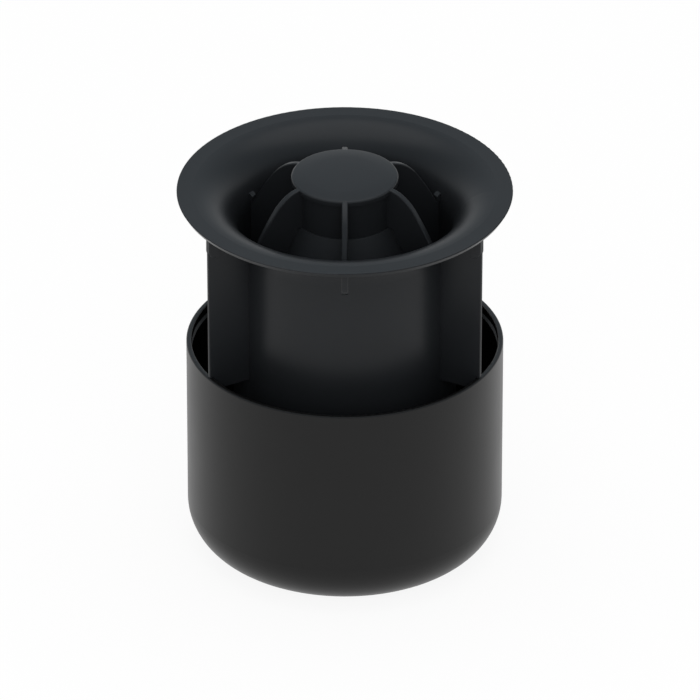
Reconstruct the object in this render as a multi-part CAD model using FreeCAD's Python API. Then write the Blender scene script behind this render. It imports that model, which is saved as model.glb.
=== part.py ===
import FreeCAD, Part
import math
import os
from FreeCAD import Vector

# Membrane drain trap: the drop-in odour trap of a floor drain.
# Water falls through the funnel, past the ribs of a cage, pushes the lip of a soft membrane
# off the tube's wall, and rises out of a water-filled cup that hangs on three legs.
# The cup's water seals the pipe. The membrane seals it when the water has dried out.
# Millimetres and degrees. +Z is up, and the origin is the middle of the cup's underside.
# The first leg's side view lies in the XZ plane, so a profile point is (radius, height).

# Water cup
cup_height = 67.85
cup_wall = 1.6
cup_floor = 1.8
cup_draft = 0.5
cup_corner_radius = 14.9
cup_rim_round = 0.5
snap_groove_drop = 2.0
snap_groove_height = 2.0
snap_groove_depth = 0.6

# Heights up and down from the cup's rim
outlet_window = 49.05
water_seal = 50.0

# Funnel and dip tube
flange_radius = 50.0
flange_thickness = 1.65
flange_edge_slant = 0.85
flange_ring_width = 4.8
throat_radius = 31.9
funnel_depth = 14.0
body_wall = 1.4
body_edge_round = 0.2
tube_draft = 0.25
seat_shoulder = 0.6

# Legs, gussets and guide lugs. The lugs stand as far out as the cup, as one socket takes both.
leg_count = 3
first_leg_azimuth = 90.0
leg_thickness = 1.1
leg_edge_chamfer = 0.2
leg_foot_step = 0.5
tongue_length = 4.2
tongue_taper = 0.6
guide_inset = 2.9
lug_drop = 8.3
lug_flat = 0.4
lug_thickness = 2.0
lug_corner_radius = 2.8
leg_azimuths = [first_leg_azimuth + 360.0 / leg_count * i for i in range(leg_count)]
gusset_azimuths = [azimuth + 180.0 / leg_count for azimuth in leg_azimuths]

# Snap nubs that hold the cage in the funnel, measured up from the throat
nub_rise = 4.15
nub_depth = 0.8
nub_width = 2.0
nub_height = 2.4

# Cage: button, hollow core and arched ribs
rib_count = 6
rib_thickness = 1.8
rib_edge_round = 0.4
button_rise = 5.8
button_overhang = 1.0
button_thickness = 1.95
button_dome = 0.3
button_edge_round = 0.6
core_radius = 15.0
core_wall = 1.7
core_tail = 1.2
crown_start_slope = 14.3
crown_shoulder_radius = 15.4
crown_flank_radius = 77.0
rib_azimuths = [first_leg_azimuth + 360.0 / rib_count * i for i in range(rib_count)]

# Membrane: a sleeve on the core, a conical skirt and a flared sealing lip
membrane_drop = 13.7
collar_wall = 0.65
skirt_angle = 26.0
skirt_thickness = 0.8
sleeve_wall = 0.9
sleeve_length = 8.4
bead_drop = 5.6
bead_height = 1.6
bead_depth = 0.5
flare_radius = 9.0
flare_end_angle = 65.0
lip_thickness = 0.8
lip_length = 2.0

# Clearances
tongue_clearance = 0.3
barb_clearance = 0.2
cage_clearance = 0.2
nub_clearance = 0.1
collar_clearance = 0.1
bead_clearance = 0.05
lip_clearance = 0.05
rib_membrane_gap = 1.1
rib_lip_gap = 3.0

# How near a vertex lies to the place that names its edge
place_tolerance = 0.001

# Places that follow from the sizes
rim_height = cup_height
flange_underside = rim_height + outlet_window
flange_top = flange_underside + flange_thickness
mouth_radius = flange_radius - flange_ring_width
guide_radius = flange_radius - guide_inset
cup_rim_radius = guide_radius
throat_height = flange_top - funnel_depth
button_top = flange_top + button_rise
tube_end = rim_height - water_seal
tube_radius = throat_radius + body_wall
bore_radius = throat_radius - seat_shoulder
web_root_radius = throat_radius + body_wall / 2
button_radius = core_radius + button_overhang
collar_top = button_top - membrane_drop
collar_radius = core_radius + collar_wall
lip_radius = bore_radius - lip_clearance
lug_end = flange_underside - lug_drop
nub_top = throat_height + nub_rise
nub_bottom = nub_top - nub_height
nub_radius = throat_radius - nub_depth
bead_top = collar_top - bead_drop
bead_bottom = bead_top - bead_height
sleeve_end = collar_top - sleeve_length


def sine(angle):
    return math.sin(math.radians(angle))


def cosine(angle):
    return math.cos(math.radians(angle))


def tangent(angle):
    return math.tan(math.radians(angle))


def at(radius, height):
    """A point of a side view."""
    return Vector(radius, 0, height)


def lines(points):
    """Straight edges from each point to the next."""
    return [Part.makeLine(start, end) for start, end in zip(points, points[1:])]


def bearing(way):
    """Angle of a vector of the side view, measured from the outward direction, upwards."""
    return math.degrees(math.atan2(way.z, way.x))


def on_circle(centre, radius, angle):
    return centre + at(radius * cosine(angle), radius * sine(angle))


def arc(centre, radius, first, last):
    """An arc of a side view, from its first bearing to its last."""
    middle = on_circle(centre, radius, (first + last) / 2)
    return Part.Arc(on_circle(centre, radius, first), middle, on_circle(centre, radius, last)).toShape()


def trumpet(throat, mouth):
    """Quarter ellipse that leaves the throat upright and comes level at the mouth."""
    centre = at(mouth.x, throat.z)
    minor, major = sorted([throat, mouth], key=centre.distanceToPoint)
    return Part.Arc(Part.Ellipse(major, minor, centre), 0, math.pi / 2).toShape()


def web_top(radius):
    """Height at which a web ends inside the flange's wall."""
    inside = max(mouth_radius - radius, 0) / (mouth_radius - web_root_radius)
    return throat_height + (funnel_depth - body_wall / 2) * math.sqrt(1 - inside ** 2)


def cup_outer(height):
    return cup_rim_radius - (rim_height - height) * tangent(cup_draft)


def cup_inner(height):
    return cup_outer(height) - cup_wall


def rounded(corners):
    """Closed wire through (radius, height) corners. A third number rounds that corner."""
    points = [at(corner[0], corner[1]) for corner in corners]
    rounds = [corner[2] if len(corner) > 2 else 0 for corner in corners]
    ends = []
    arcs = []
    for i, point in enumerate(points):
        back = (points[i - 1] - point).normalize()
        ahead = (points[(i + 1) % len(points)] - point).normalize()
        half = back.getAngle(ahead) / 2
        reach = rounds[i] / math.tan(half)
        ends.append((point + back * reach, point + ahead * reach))
        middle = point + (back + ahead).normalize() * (rounds[i] / math.sin(half) - rounds[i])
        arcs.append(Part.Arc(ends[i][0], middle, ends[i][1]).toShape() if rounds[i] else None)
    edges = []
    for i, corner_arc in enumerate(arcs):
        edges += lines([ends[i - 1][1], ends[i][0]])
        if corner_arc:
            edges.append(corner_arc)
    return Part.Wire(edges)


def revolved(wire):
    return Part.Face(wire).revolve(Vector(0, 0, 0), Vector(0, 0, 1), 360)


def plate(wire, thickness):
    """A flat web from its side view, centred on the XZ plane."""
    web = Part.Face(wire).extrude(Vector(0, thickness, 0))
    web.translate(Vector(0, -thickness / 2, 0))
    return web


def soften(web, radius):
    """Chamfers those long edges of a web that lie further out than a radius."""
    outer = [edge for edge in web.Edges
             if edge.BoundBox.XMin > radius and edge.BoundBox.YLength < place_tolerance]
    return web.makeChamfer(leg_edge_chamfer, outer)


def around(shape, azimuths):
    """Copies of a shape turned about the axis."""
    copies = []
    for azimuth in azimuths:
        copy = shape.copy()
        copy.rotate(Vector(0, 0, 0), Vector(0, 0, 1), azimuth)
        copies.append(copy)
    return copies


def round_edges(shape, radius, places):
    """Fillets the circular edges that run through the given (radius, height) places."""
    chosen = []
    for edge in shape.Edges:
        start = edge.firstVertex().Point
        for place in places:
            if math.hypot(math.hypot(start.x, start.y) - place[0], start.z - place[1]) < place_tolerance:
                chosen.append(edge)
    return shape.makeFillet(radius, chosen)


def crown(start, end):
    """Top curve of a rib: an arc off the button that runs smoothly into a flatter one.

    The flatter arc's centre lies where it touches the first arc and passes through the end.
    """
    shoulder_centre = start - at(crown_shoulder_radius * sine(crown_start_slope),
                                 crown_shoulder_radius * cosine(crown_start_slope))
    chord = end - shoulder_centre
    spread = crown_flank_radius - crown_shoulder_radius
    turn = (spread ** 2 + chord.Length ** 2 - crown_flank_radius ** 2) / (2 * spread * chord.Length)
    away = bearing(chord) - math.degrees(math.acos(turn))
    flank_centre = on_circle(shoulder_centre, spread, away)
    meeting = away + 180
    return [
        arc(shoulder_centre, crown_shoulder_radius, 90 - crown_start_slope, meeting),
        arc(flank_centre, crown_flank_radius, meeting, bearing(end - flank_centre)),
    ]


def skirt_radius(height, gap):
    """Radius of the skirt's outer cone, moved outwards by a gap square to it."""
    return collar_radius + (collar_top - height) * tangent(skirt_angle) + gap / cosine(skirt_angle)


def skirt_height(radius, gap):
    return collar_top - (radius - collar_radius - gap / cosine(skirt_angle)) / tangent(skirt_angle)


flare_start_radius = lip_radius - flare_radius * (cosine(skirt_angle) - cosine(flare_end_angle))
flare_start_height = skirt_height(flare_start_radius, 0)
seat_height = flare_start_height + rib_lip_gap


def make_water_cup():
    """Drafted cup with a snap groove inside its rim."""
    groove_top = rim_height - snap_groove_drop
    groove_bottom = groove_top - snap_groove_height
    groove_radius = cup_inner(groove_top) + snap_groove_depth
    inner_corner = cup_corner_radius - cup_wall
    return revolved(rounded([
        (0, 0),
        (cup_outer(0), 0, cup_corner_radius),
        (cup_rim_radius, rim_height, cup_rim_round),
        (cup_inner(rim_height), rim_height, cup_rim_round),
        (cup_inner(groove_top), groove_top),
        (groove_radius, groove_top - snap_groove_depth),
        (groove_radius, groove_bottom + snap_groove_depth),
        (cup_inner(groove_bottom), groove_bottom),
        (cup_inner(cup_floor), cup_floor, inner_corner),
        (0, cup_floor),
    ]))


def make_funnel():
    """Level flange to hang from and a rounded funnel, which runs into the dip tube.

    A shoulder in the tube's bore carries the cage.
    """
    tube_end_radius = tube_radius - (throat_height - tube_end) * tangent(tube_draft)
    throat = at(throat_radius, throat_height)
    mouth = at(mouth_radius, flange_top)
    tube_top = at(tube_radius, throat_height)
    rim_centre = at(flange_radius - body_edge_round, flange_top - body_edge_round)
    rim_top = rim_centre + at(0, body_edge_round)
    rim_bottom = at(flange_radius - flange_edge_slant, flange_underside)
    rim_inside = at(mouth_radius, flange_underside)
    down = rim_bottom - rim_centre
    slant = bearing(down) + math.degrees(math.acos(body_edge_round / down.Length))
    slant_top = on_circle(rim_centre, body_edge_round, slant)
    tube = [
        tube_top,
        at(tube_end_radius, tube_end),
        at(bore_radius, tube_end),
        at(bore_radius, seat_height),
        at(throat_radius, seat_height),
        throat,
    ]
    edges = [trumpet(throat, mouth)] + lines([mouth, rim_top])
    edges += [arc(rim_centre, body_edge_round, 90, slant)] + lines([slant_top, rim_bottom, rim_inside])
    edges += [trumpet(tube_top, rim_inside)] + lines(tube)
    return round_edges(revolved(Part.Wire(edges)), body_edge_round, [
        (rim_bottom.x, rim_bottom.z),
        (tube_end_radius, tube_end),
        (bore_radius, tube_end),
    ])


def under_flange(lower_corners):
    """Side view of a web that hangs from the flange, out to the guide radius."""
    root = at(web_root_radius, throat_height)
    mouth = at(mouth_radius, web_top(mouth_radius))
    corners = [mouth, at(guide_radius, mouth.z)]
    corners += [at(radius, height) for radius, height in lower_corners]
    return Part.Wire([trumpet(root, mouth)] + lines(corners + [root]))


def make_leg():
    """Web from the flange down to the cup: a foot on its rim and a barbed tongue inside."""
    foot_radius = cup_rim_radius - leg_foot_step
    tongue_radius = cup_inner(rim_height) - tongue_clearance
    tongue_end = rim_height - tongue_length
    barb_top = rim_height - snap_groove_drop - barb_clearance
    barb_depth = snap_groove_depth + tongue_clearance - barb_clearance
    barb_radius = tongue_radius + barb_depth
    barb_bottom = rim_height - snap_groove_drop - snap_groove_height + snap_groove_depth + barb_clearance
    web = plate(under_flange([
        (guide_radius, lug_end + lug_corner_radius),
        (foot_radius, rim_height),
        (tongue_radius, rim_height),
        (tongue_radius, barb_top),
        (barb_radius, barb_top - barb_depth),
        (barb_radius, barb_bottom),
        (tongue_radius - tongue_taper, tongue_end),
        (web_root_radius, tongue_end),
    ]), leg_thickness)
    return soften(web, foot_radius - place_tolerance)


def make_gusset():
    """Short web under the flange, level at the lug's end."""
    web = plate(under_flange([
        (guide_radius, lug_end + lug_corner_radius),
        (guide_radius - lug_corner_radius, lug_end),
        (web_root_radius, throat_height - lug_drop),
    ]), leg_thickness)
    below = Part.makeBox(guide_radius, guide_radius, lug_end, Vector(0, -guide_radius / 2, 0))
    return web.cut(below)


def make_lug():
    """Thick outer end of a web, which guides the insert in the drain's socket."""
    lug_back = guide_radius - lug_corner_radius - lug_flat
    lug = plate(rounded([
        (lug_back, web_top(lug_back)),
        (guide_radius, web_top(lug_back)),
        (guide_radius, lug_end, lug_corner_radius),
        (lug_back, lug_end),
    ]), lug_thickness)
    return soften(lug, lug_back + place_tolerance)


def make_nub():
    """Snap nub on the funnel's wall, with a slope that lets the cage in."""
    root = (web_root_radius + tube_radius) / 2
    return plate(rounded([
        (root, nub_bottom),
        (nub_radius, nub_bottom),
        (nub_radius, nub_top - nub_depth),
        (throat_radius, nub_top),
        (root, nub_top),
    ]), nub_width)


def make_trap_body():
    """Funnel, dip tube, legs, gussets, lugs and nubs, moulded in one piece."""
    webs = around(make_leg(), leg_azimuths) + around(make_gusset(), gusset_azimuths)
    webs += around(make_lug(), leg_azimuths + gusset_azimuths)
    webs += around(make_nub(), rib_azimuths)
    return make_funnel().fuse(webs).removeSplitter()


def make_core():
    """Hollow post under the domed button, grooved for the membrane's bead."""
    button_edge = button_top - button_dome
    button_underside = button_edge - button_thickness
    groove_top = bead_top + bead_clearance
    groove_bottom = bead_bottom - bead_clearance
    groove_radius = core_radius - bead_depth - bead_clearance
    core_end = sleeve_end - core_tail
    dome_radius = (button_radius ** 2 + button_dome ** 2) / (2 * button_dome)
    dome_centre = at(0, button_top - dome_radius)
    edge_radius = button_radius - button_edge_round
    edge_rise = math.sqrt((dome_radius - button_edge_round) ** 2 - edge_radius ** 2)
    edge_centre = dome_centre + at(edge_radius, edge_rise)
    dome_end = bearing(edge_centre - dome_centre)
    dome = [
        arc(dome_centre, dome_radius, 90, dome_end),
        arc(edge_centre, button_edge_round, dome_end, 0),
    ]
    corners = [
        edge_centre + at(button_edge_round, 0),
        at(button_radius, button_underside),
        at(core_radius, button_underside),
        at(core_radius, groove_top),
        at(groove_radius, groove_top),
        at(groove_radius, groove_bottom),
        at(core_radius, groove_bottom),
        at(core_radius, core_end),
        at(core_radius - core_wall, core_end),
        at(core_radius - core_wall, button_underside),
        at(0, button_underside),
        at(0, button_top),
    ]
    return revolved(Part.Wire(dome + lines(corners)))


def make_rib():
    """Arched web from the button to the tube's wall. Its inner edge follows the membrane."""
    start = at(button_radius - button_edge_round, button_top - button_dome)
    end = at(nub_radius, nub_bottom - nub_clearance)
    root = core_radius - core_wall / 2
    outer = throat_radius - cage_clearance
    notch = collar_top + collar_clearance
    corners = [
        end,
        at(outer, end.z),
        at(outer, seat_height),
        at(skirt_radius(seat_height, rib_membrane_gap), seat_height),
        at(skirt_radius(notch, rib_membrane_gap), notch),
        at(root, notch),
        at(root, start.z - button_edge_round),
        start,
    ]
    rib = plate(Part.Wire(crown(start, end) + lines(corners)), rib_thickness)
    arcs = [edge for edge in rib.Edges if isinstance(edge.Curve, Part.Circle)]
    return rib.makeFillet(rib_edge_round, arcs)


def make_membrane_cage():
    """Button, core and ribs, moulded in one piece and snapped in under the nubs."""
    return make_core().fuse(around(make_rib(), rib_azimuths)).removeSplitter()


def make_membrane():
    """Soft bell: sleeve, cone, flare and a lip that lies on the bore."""
    outer_start = at(flare_start_radius, flare_start_height)
    flare_centre = outer_start + at(flare_radius * cosine(skirt_angle), flare_radius * sine(skirt_angle))
    inner_flare = flare_radius + skirt_thickness
    lip_back = lip_radius - lip_thickness
    inner_end_angle = math.degrees(math.acos((flare_centre.x - lip_back) / inner_flare))
    inner_end = at(lip_back, flare_centre.z - inner_flare * sine(inner_end_angle))
    inner_start = flare_centre - at(inner_flare * cosine(skirt_angle), inner_flare * sine(skirt_angle))
    lip_top = flare_centre.z - flare_radius * sine(flare_end_angle)
    lip_bottom = lip_top - lip_length
    sleeve_radius = core_radius + sleeve_wall
    bead_radius = core_radius - bead_depth
    corners = [
        inner_start,
        at(sleeve_radius, skirt_height(sleeve_radius, -skirt_thickness)),
        at(sleeve_radius, sleeve_end),
        at(core_radius, sleeve_end),
        at(core_radius, bead_bottom),
        at(bead_radius, bead_bottom),
        at(bead_radius, bead_top),
        at(core_radius, bead_top),
        at(core_radius, collar_top),
        at(collar_radius, collar_top),
        outer_start,
    ]
    lip = [at(lip_radius, lip_top), at(lip_radius, lip_bottom), at(lip_back, lip_bottom), inner_end]
    outer_arc = arc(flare_centre, flare_radius, 180 + skirt_angle, 180 + flare_end_angle)
    inner_arc = arc(flare_centre, inner_flare, 180 + inner_end_angle, 180 + skirt_angle)
    return revolved(Part.Wire(lines(corners) + [outer_arc] + lines(lip) + [inner_arc]))


def export(name, shape):
    shape.exportStep("parts/" + name + ".step")
    print(name, "solids", len(shape.Solids), "valid", shape.isValid(), "volume", round(shape.Volume, 1))


os.makedirs("parts", exist_ok=True)
export("water_cup", make_water_cup())
export("trap_body", make_trap_body())
export("membrane_cage", make_membrane_cage())
export("membrane", make_membrane())
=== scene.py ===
"""Looks of the membrane drain trap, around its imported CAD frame. Metres and degrees."""
import math

import bmesh
import bpy
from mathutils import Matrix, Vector


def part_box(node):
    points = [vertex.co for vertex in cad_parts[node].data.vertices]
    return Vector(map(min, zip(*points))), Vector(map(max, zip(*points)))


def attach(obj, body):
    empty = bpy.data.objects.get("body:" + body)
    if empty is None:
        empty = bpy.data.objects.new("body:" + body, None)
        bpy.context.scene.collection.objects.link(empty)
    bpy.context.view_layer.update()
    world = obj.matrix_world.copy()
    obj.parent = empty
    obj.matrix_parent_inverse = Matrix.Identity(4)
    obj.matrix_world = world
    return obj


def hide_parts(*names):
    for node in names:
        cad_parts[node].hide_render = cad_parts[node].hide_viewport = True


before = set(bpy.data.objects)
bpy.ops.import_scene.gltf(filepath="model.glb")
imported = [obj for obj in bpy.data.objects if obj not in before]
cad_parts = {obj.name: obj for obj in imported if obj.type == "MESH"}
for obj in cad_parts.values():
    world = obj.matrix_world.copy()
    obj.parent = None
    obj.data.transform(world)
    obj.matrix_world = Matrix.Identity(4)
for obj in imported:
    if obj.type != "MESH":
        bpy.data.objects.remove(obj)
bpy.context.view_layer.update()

# Camera: the photograph shows the trap from in front, near enough without perspective
CAMERA_ELEVATION = 29.85
CAMERA_DISTANCE = 1.0
CAMERA_WIDTH = 0.20794
CAMERA_AIM = Vector((0.001545, 0.0, 0.063946))

# Light: a soft sky, a wide lamp overhead and a fill lamp in front. Strengths, watts and metres
WHITE = (1.0, 1.0, 1.0, 1.0)
SKY_LIGHT = 0.55
SKY_HORIZON = WHITE
SKY_TOP = (0.43, 0.518, 0.586, 1.0)
SKY_TOP_ELEVATION = 30.0
TOP_PLACE = (0.0, 0.2, 1.7)
TOP_SIZE = 2.0
TOP_POWER = 12.5
FILL_PLACE = (0.0, -1.5, 1.1)
FILL_SIZE = 1.6
FILL_POWER = 12.0

# Floor
FLOOR_SIZE = 8.0
FLOOR_DROP = 0.0001
FLOOR_COLOUR = (0.95, 0.95, 0.95, 1.0)
FLOOR_SHADOW_SHARE = 0.1

# Plastic and rubber: colour, specular level, middle roughness and relief in metres
INSERT_COLOUR = (0.0118, 0.0131, 0.0148)
INSERT_SPECULAR = 0.19
INSERT_ROUGHNESS = 0.34
CUP_COLOUR = (0.0055, 0.0055, 0.0055)
CUP_SPECULAR = 0.24
CUP_ROUGHNESS = 0.36
RUBBER_COLOUR = (0.011, 0.0122, 0.0138)
RUBBER_SPECULAR = 0.2
RUBBER_ROUGHNESS = 0.55
ROUGHNESS_SPREAD = 0.04
COLOUR_SPREAD = 0.15
GRAIN_SIZE = 0.0011
CLOUD_SIZE = 0.022
GRAIN_DETAIL = 4.0
CLOUD_DETAIL = 3.0
PLASTIC_RELIEF = 0.000008
RUBBER_RELIEF = 0.00002

# Sockets of a mix of colours, because its sockets for other kinds of value have the same names
FIRST_COLOUR = 6
SECOND_COLOUR = 7

# Membrane, as its solid is: millimetres, measured from the solid's top and outer edge
MM = 0.001
CORE_RADIUS = 15.0
COLLAR_WALL = 0.65
SLEEVE_WALL = 0.9
SLEEVE_LENGTH = 8.4
BEAD_DROP = 5.6
BEAD_HEIGHT = 1.6
BEAD_DEPTH = 0.5
SKIRT_ANGLE = 26.0
SKIRT_THICKNESS = 0.8
FLARE_RADIUS = 9.0
FLARE_END_ANGLE = 65.0
LIP_THICKNESS = 0.8
EDGE_ROUND = 0.2
BEAD_ROUND = 0.35
ARC_STEP = 6.0
ARC_FEWEST_STEPS = 2
LATHE_STEPS = 192

# Button: the cage's mesh is let down at the button's edge, for a rounder dome than its solid's.
# The drop fades inwards with a power of the radius, and outwards along the ribs. Metres
BUTTON_RADIUS = 0.016
BUTTON_THICKNESS = 0.00195
BUTTON_DOME = 0.0003
BUTTON_DROP = 0.00035
BUTTON_DROP_POWER = 6
BUTTON_DROP_REACH = 0.004
SLOPE_STEP = 0.00001


def add_object(name, data):
    """A new object in the scene, made of the given data."""
    thing = bpy.data.objects.new(name, data)
    bpy.context.scene.collection.objects.link(thing)
    return thing


def look_along(thing, direction):
    """Turns a camera or a lamp so that it looks in the given direction."""
    thing.rotation_mode = "QUATERNION"
    thing.rotation_quaternion = direction.to_track_quat("-Z", "Y")


def make_camera():
    """A camera without perspective, as the photograph's seems to be."""
    data = bpy.data.cameras.new("camera")
    data.type = "ORTHO"
    data.ortho_scale = CAMERA_WIDTH
    camera = add_object("camera", data)
    elevation = math.radians(CAMERA_ELEVATION)
    back = Vector((0.0, -math.cos(elevation), math.sin(elevation)))
    camera.location = CAMERA_AIM + back * CAMERA_DISTANCE
    look_along(camera, -back)
    bpy.context.scene.camera = camera


class Nodes:
    """Short way to add, set and join shader nodes."""

    def __init__(self, tree):
        self.tree = tree
        tree.nodes.clear()

    def add(self, kind, sockets=None, **values):
        """A node with its own values, and numbers or links on its input sockets."""
        node = self.tree.nodes.new(kind)
        for name, value in values.items():
            setattr(node, name, value)
        for name, value in (sockets or {}).items():
            if isinstance(value, bpy.types.NodeSocket):
                self.tree.links.new(value, node.inputs[name])
            else:
                node.inputs[name].default_value = value
        return node


def white_to_the_eye(nodes):
    """1 for a ray from the camera, a reflection or a clear material, else 0."""
    rays = nodes.add("ShaderNodeLightPath").outputs
    either = nodes.add("ShaderNodeMath", {0: rays["Is Camera Ray"], 1: rays["Is Glossy Ray"]},
                       operation="MAXIMUM")
    any_ray = nodes.add("ShaderNodeMath", {0: either.outputs[0], 1: rays["Is Transmission Ray"]},
                        operation="MAXIMUM")
    return any_ray.outputs[0]


def make_world():
    """A soft even light, from a sky that looks white at the horizon and cool grey overhead."""
    world = bpy.data.worlds.new("studio")
    bpy.context.scene.world = world
    world.use_nodes = True
    nodes = Nodes(world.node_tree)
    place = nodes.add("ShaderNodeTexCoord")
    split = nodes.add("ShaderNodeSeparateXYZ", {0: place.outputs["Generated"]})
    height = nodes.add("ShaderNodeMapRange", {
        "Value": split.outputs["Z"],
        "From Max": math.sin(math.radians(SKY_TOP_ELEVATION)),
    })
    fade = nodes.add("ShaderNodeMix", {
        "Factor": height.outputs[0],
        FIRST_COLOUR: SKY_HORIZON,
        SECOND_COLOUR: SKY_TOP,
    }, data_type="RGBA")
    light = nodes.add("ShaderNodeBackground", {"Strength": SKY_LIGHT, "Color": WHITE})
    seen = nodes.add("ShaderNodeBackground", {"Color": fade.outputs[2]})
    mix = nodes.add("ShaderNodeMixShader", {
        0: white_to_the_eye(nodes),
        1: light.outputs[0],
        2: seen.outputs[0],
    })
    nodes.add("ShaderNodeOutputWorld", {0: mix.outputs[0]})


def make_floor():
    """A white floor that keeps a part of the object's shadow, a hair below the cup."""
    half = FLOOR_SIZE / 2
    mesh = bpy.data.meshes.new("floor")
    corners = [(-half, -half), (half, -half), (half, half), (-half, half)]
    mesh.from_pydata([(x, y, -FLOOR_DROP) for x, y in corners], [], [(0, 1, 2, 3)])
    floor = add_object("floor", mesh)
    material = bpy.data.materials.new("floor")
    material.use_nodes = True
    nodes = Nodes(material.node_tree)
    diffuse = nodes.add("ShaderNodeBsdfDiffuse", {"Color": FLOOR_COLOUR})
    glow = nodes.add("ShaderNodeEmission")
    share = nodes.add("ShaderNodeMath", {0: white_to_the_eye(nodes), 1: 1 - FLOOR_SHADOW_SHARE},
                      operation="MULTIPLY")
    mix = nodes.add("ShaderNodeMixShader", {
        0: share.outputs[0],
        1: diffuse.outputs[0],
        2: glow.outputs[0],
    })
    nodes.add("ShaderNodeOutputMaterial", {0: mix.outputs[0]})
    mesh.materials.append(material)


def make_lamp(name, place, size, power, mirrored):
    """A round soft lamp that looks at the camera's aim, and is mirrored in the plastic or not."""
    data = bpy.data.lights.new(name, "AREA")
    data.shape = "DISK"
    data.size = size
    data.energy = power
    lamp = add_object(name, data)
    lamp.location = place
    look_along(lamp, CAMERA_AIM - Vector(place))
    lamp.visible_glossy = mirrored


def make_moulded(name, colour, specular, roughness, relief):
    """Moulded plastic or rubber: cloudy colour and gloss, and the fine grain of the mould."""
    material = bpy.data.materials.new(name)
    material.use_nodes = True
    nodes = Nodes(material.node_tree)
    place = nodes.add("ShaderNodeTexCoord").outputs["Object"]
    cloud = nodes.add("ShaderNodeTexNoise",
                      {"Vector": place, "Scale": 1 / CLOUD_SIZE, "Detail": CLOUD_DETAIL})
    grain = nodes.add("ShaderNodeTexNoise",
                      {"Vector": place, "Scale": 1 / GRAIN_SIZE, "Detail": GRAIN_DETAIL})
    tint = nodes.add("ShaderNodeMapRange", {
        "Value": cloud.outputs["Fac"],
        "To Min": 1 - COLOUR_SPREAD,
        "To Max": 1 + COLOUR_SPREAD,
    })
    gloss = nodes.add("ShaderNodeMapRange", {
        "Value": cloud.outputs["Fac"],
        "To Min": roughness - ROUGHNESS_SPREAD,
        "To Max": roughness + ROUGHNESS_SPREAD,
    })
    clouded = nodes.add("ShaderNodeVectorMath", {0: colour, 1: tint.outputs[0]},
                        operation="MULTIPLY")
    bump = nodes.add("ShaderNodeBump", {"Height": grain.outputs["Fac"], "Distance": relief})
    shader = nodes.add("ShaderNodeBsdfPrincipled", {
        "Base Color": clouded.outputs[0],
        "Specular IOR Level": specular,
        "Roughness": gloss.outputs[0],
        "Normal": bump.outputs[0],
    })
    nodes.add("ShaderNodeOutputMaterial", {0: shader.outputs[0]})
    return material


def dress(piece, material):
    """Gives a piece one material all over."""
    piece.data.materials.clear()
    piece.data.materials.append(material)


def arc_points(centre, radius, first, last):
    """Points of an arc from its first bearing to its last, ends included."""
    count = max(ARC_FEWEST_STEPS, math.ceil(abs(last - first) / ARC_STEP))
    points = []
    for i in range(count + 1):
        angle = math.radians(first + (last - first) * i / count)
        points.append((centre[0] + radius * math.cos(angle), centre[1] + radius * math.sin(angle)))
    return points


def rounded_corner(before, corner, after, radius):
    """Points of the arc that rounds one corner of an outline."""
    corner = Vector(corner)
    back = (Vector(before) - corner).normalized()
    ahead = (Vector(after) - corner).normalized()
    half = back.angle(ahead) / 2
    start = corner + back * (radius / math.tan(half))
    middle = (back + ahead).normalized()
    centre = corner + middle * (radius / math.sin(half))
    first = math.degrees(math.atan2(*reversed(start - centre)))
    turn = 180 - math.degrees(2 * half)
    side = 1 if back.x * ahead.y - back.y * ahead.x < 0 else -1
    return arc_points(centre, radius, first, first + side * turn)


def lathe(name, outline):
    """Closed ring turned from a closed outline of (radius, height) points, in millimetres."""
    build = bmesh.new()
    rings = []
    for i in range(LATHE_STEPS):
        turn = 2 * math.pi * i / LATHE_STEPS
        rings.append([build.verts.new((r * math.cos(turn) * MM, r * math.sin(turn) * MM, h * MM))
                      for r, h in outline])
    for i, ring in enumerate(rings):
        following = rings[(i + 1) % LATHE_STEPS]
        for j in range(len(outline)):
            k = (j + 1) % len(outline)
            build.faces.new((ring[j], ring[k], following[k], following[j]))
    bmesh.ops.recalc_face_normals(build, faces=build.faces)
    mesh = bpy.data.meshes.new(name)
    build.to_mesh(mesh)
    build.free()
    mesh.shade_smooth()
    return add_object(name, mesh)


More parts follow.
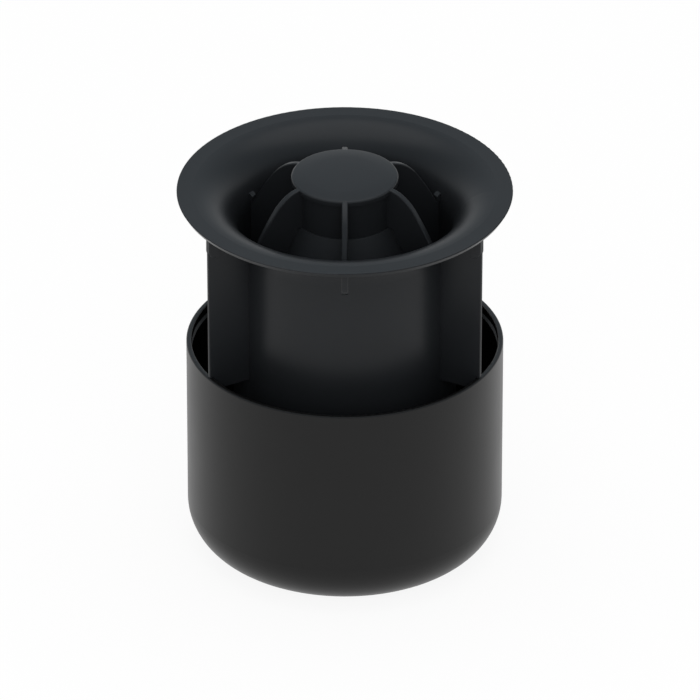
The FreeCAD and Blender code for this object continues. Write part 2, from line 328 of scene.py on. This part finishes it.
def membrane_outline(lip_radius, lip_bottom, collar_top):
    """Sleeve with a bead, conical skirt and flared lip, every edge rounded as moulded rubber is."""
    slope = math.tan(math.radians(SKIRT_ANGLE))
    cosine = math.cos(math.radians(SKIRT_ANGLE))
    sine = math.sin(math.radians(SKIRT_ANGLE))
    collar_radius = CORE_RADIUS + COLLAR_WALL
    sleeve_radius = CORE_RADIUS + SLEEVE_WALL
    sleeve_end = collar_top - SLEEVE_LENGTH
    bead_radius = CORE_RADIUS - BEAD_DEPTH
    bead_top = collar_top - BEAD_DROP
    bead_bottom = bead_top - BEAD_HEIGHT
    flare_end = math.radians(FLARE_END_ANGLE)
    start = lip_radius - FLARE_RADIUS * (cosine - math.cos(flare_end))
    start_height = collar_top - (start - collar_radius) / slope
    centre = (start + FLARE_RADIUS * cosine, start_height + FLARE_RADIUS * sine)
    inner = FLARE_RADIUS + SKIRT_THICKNESS
    lip_back = lip_radius - LIP_THICKNESS
    inner_end = math.degrees(math.acos((centre[0] - lip_back) / inner))
    fork_height = collar_top - (sleeve_radius - collar_radius + SKIRT_THICKNESS / cosine) / slope
    corners = [
        (sleeve_radius, fork_height, 0),
        (sleeve_radius, sleeve_end, EDGE_ROUND),
        (CORE_RADIUS, sleeve_end, EDGE_ROUND),
        (CORE_RADIUS, bead_bottom, 0),
        (bead_radius, bead_bottom, BEAD_ROUND),
        (bead_radius, bead_top, BEAD_ROUND),
        (CORE_RADIUS, bead_top, 0),
        (CORE_RADIUS, collar_top, EDGE_ROUND),
        (collar_radius, collar_top, EDGE_ROUND),
        (start, start_height, 0),
    ]
    points = [(corner[0], corner[1]) for corner in corners]
    outline = []
    for i, (radius, height, rounding) in enumerate(corners):
        if rounding:
            outline += rounded_corner(points[i - 1], points[i], points[i + 1], rounding)
        else:
            outline.append(points[i])
    outline += arc_points(centre, FLARE_RADIUS, 180 + SKIRT_ANGLE, 180 + FLARE_END_ANGLE)[1:]
    below = [(lip_radius, lip_bottom), (lip_back, lip_bottom)]
    flare_foot = outline[-1]
    inner_foot = arc_points(centre, inner, 180 + inner_end, 180 + SKIRT_ANGLE)
    outline += rounded_corner(flare_foot, below[0], below[1], EDGE_ROUND)
    outline += rounded_corner(below[0], below[1], inner_foot[0], EDGE_ROUND)
    return outline + inner_foot


def make_membrane(material):
    """The soft bell, which stands for its plain solid."""
    low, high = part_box("membrane")
    outline = membrane_outline(high[0] / MM, low[2] / MM, high[2] / MM)
    membrane = lathe("membrane_bell", outline)
    dress(membrane, material)
    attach(membrane, "root")
    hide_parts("membrane")


def button_drop(radius, height, top):
    """How far a point of the cage is let down: most at the button's edge, and nothing below it."""
    share = (height - top + BUTTON_DOME + BUTTON_THICKNESS) / BUTTON_THICKNESS
    share = min(max(share, 0), 1)
    if radius < BUTTON_RADIUS:
        return BUTTON_DROP * share * (radius / BUTTON_RADIUS) ** BUTTON_DROP_POWER
    return BUTTON_DROP * share * max(1 - (radius - BUTTON_RADIUS) / BUTTON_DROP_REACH, 0)


def leaned_normal(normal, place, top):
    """A normal of the cage after the drop, from how fast that grows outwards and upwards."""
    radius = math.hypot(place.x, place.y)
    here = button_drop(radius, place.z, top)
    outward = (button_drop(radius + SLOPE_STEP, place.z, top) - here) / SLOPE_STEP
    upward = (button_drop(radius, place.z + SLOPE_STEP, top) - here) / SLOPE_STEP
    slope = Vector((place.x, place.y, 0)).normalized() * outward + Vector((0, 0, upward))
    return (normal + slope * normal.z / (1 - upward)).normalized()


def make_cage(material):
    """A copy of the cage with a rounder button, which stands for its solid."""
    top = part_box("membrane_cage")[1][2]
    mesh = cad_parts["membrane_cage"].data.copy()
    normals = [leaned_normal(corner.vector, mesh.vertices[loop.vertex_index].co, top)
               for loop, corner in zip(mesh.loops, mesh.corner_normals)]
    for vertex in mesh.vertices:
        vertex.co.z -= button_drop(vertex.co.xy.length, vertex.co.z, top)
    mesh.normals_split_custom_set(normals)
    piece = add_object("arched_cage", mesh)
    dress(piece, material)
    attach(piece, "root")
    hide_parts("membrane_cage")


make_camera()
make_world()
make_floor()
make_lamp("top_lamp", TOP_PLACE, TOP_SIZE, TOP_POWER, True)
make_lamp("fill_lamp", FILL_PLACE, FILL_SIZE, FILL_POWER, False)
insert = make_moulded("insert_plastic", INSERT_COLOUR, INSERT_SPECULAR, INSERT_ROUGHNESS,
                      PLASTIC_RELIEF)
cup = make_moulded("cup_plastic", CUP_COLOUR, CUP_SPECULAR, CUP_ROUGHNESS, PLASTIC_RELIEF)
rubber = make_moulded("membrane_rubber", RUBBER_COLOUR, RUBBER_SPECULAR, RUBBER_ROUGHNESS,
                      RUBBER_RELIEF)
dress(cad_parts["trap_body"], insert)
dress(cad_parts["water_cup"], cup)
make_cage(insert)
make_membrane(rubber)

bpy.context.scene.view_settings.view_transform = "Standard"
